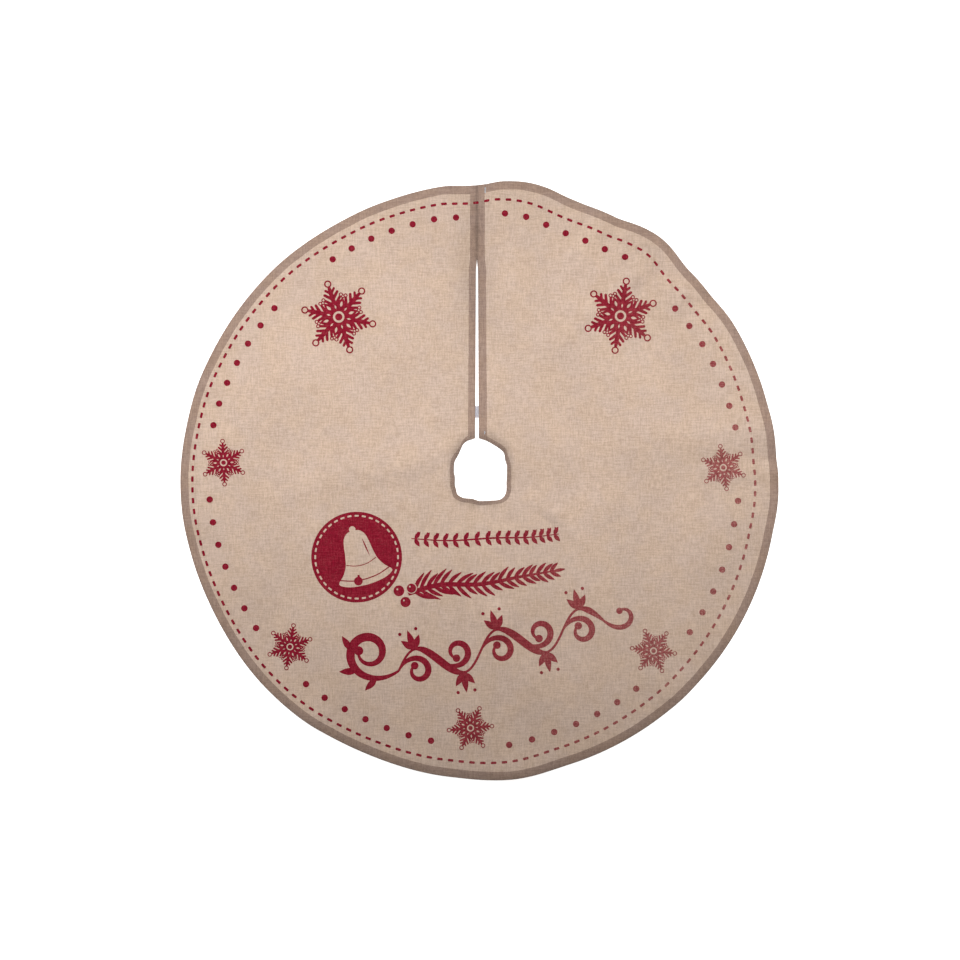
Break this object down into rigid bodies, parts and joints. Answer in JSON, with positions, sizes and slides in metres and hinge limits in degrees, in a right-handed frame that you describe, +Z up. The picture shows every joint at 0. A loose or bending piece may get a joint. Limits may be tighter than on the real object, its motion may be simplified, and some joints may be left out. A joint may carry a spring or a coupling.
{
  "type": "tree skirt",
  "caption": "Round cloth skirt that lies on the floor round a tree, with a centre opening, a slit, turned hems and hook-and-loop closures.",
  "frame": {"origin": "on the floor, at the middle of the skirt's outline", "axes": "+Z up from the floor, +Y from the middle towards the slit at the back, +X to the right when the bell print is seen the right way up from above"},
  "size_m": [0.906, 0.9071, 0.0096],
  "materials": {
    "cloth": "slubby linen-look weave, matt, printed in one burgundy ink",
    "hem": "the same cloth in three layers, matt",
    "hook_tape": "white woven nylon hook tape",
    "loop_tape": "white brushed nylon loop tape",
    "print_ink": "burgundy ink soaked into the weave, matt, slightly worn",
    "thread": "matt sewing thread in the cloth's colour"
  },
  "bodies": {
    "skirt": {"skirt_panel": "cloth", "outer_hem": "hem", "opening_hem": "hem", "left_slit_hem": "hem"},
    "flap": {"flap_panel": "cloth", "flap_outer_hem": "hem", "flap_opening_hem": "hem", "right_slit_hem": "hem", "inner_loop_pad": "loop_tape", "outer_loop_pad": "loop_tape"},
    "inner_tab": {"inner_hook_tab": "hook_tape"},
    "outer_tab": {"outer_hook_tab": "hook_tape"}
  },
  "joints": [
    {"name": "flap_fold", "type": "hinge", "parent": "skirt", "child": "flap", "pos_m": [0.04091, -0.008, 0.004], "axis": [1, 0, 0], "range_deg": [0, 150]},
    {"name": "inner_tab_peel", "type": "hinge", "parent": "skirt", "child": "inner_tab", "pos_m": [-0.01908, 0.10396, 0.0024], "axis": [0, 1, 0], "range_deg": [0, 70]},
    {"name": "outer_tab_peel", "type": "hinge", "parent": "skirt", "child": "outer_tab", "pos_m": [-0.0162, 0.4228, 0.0024], "axis": [0, 1, 0], "range_deg": [0, 70]}
  ]
}
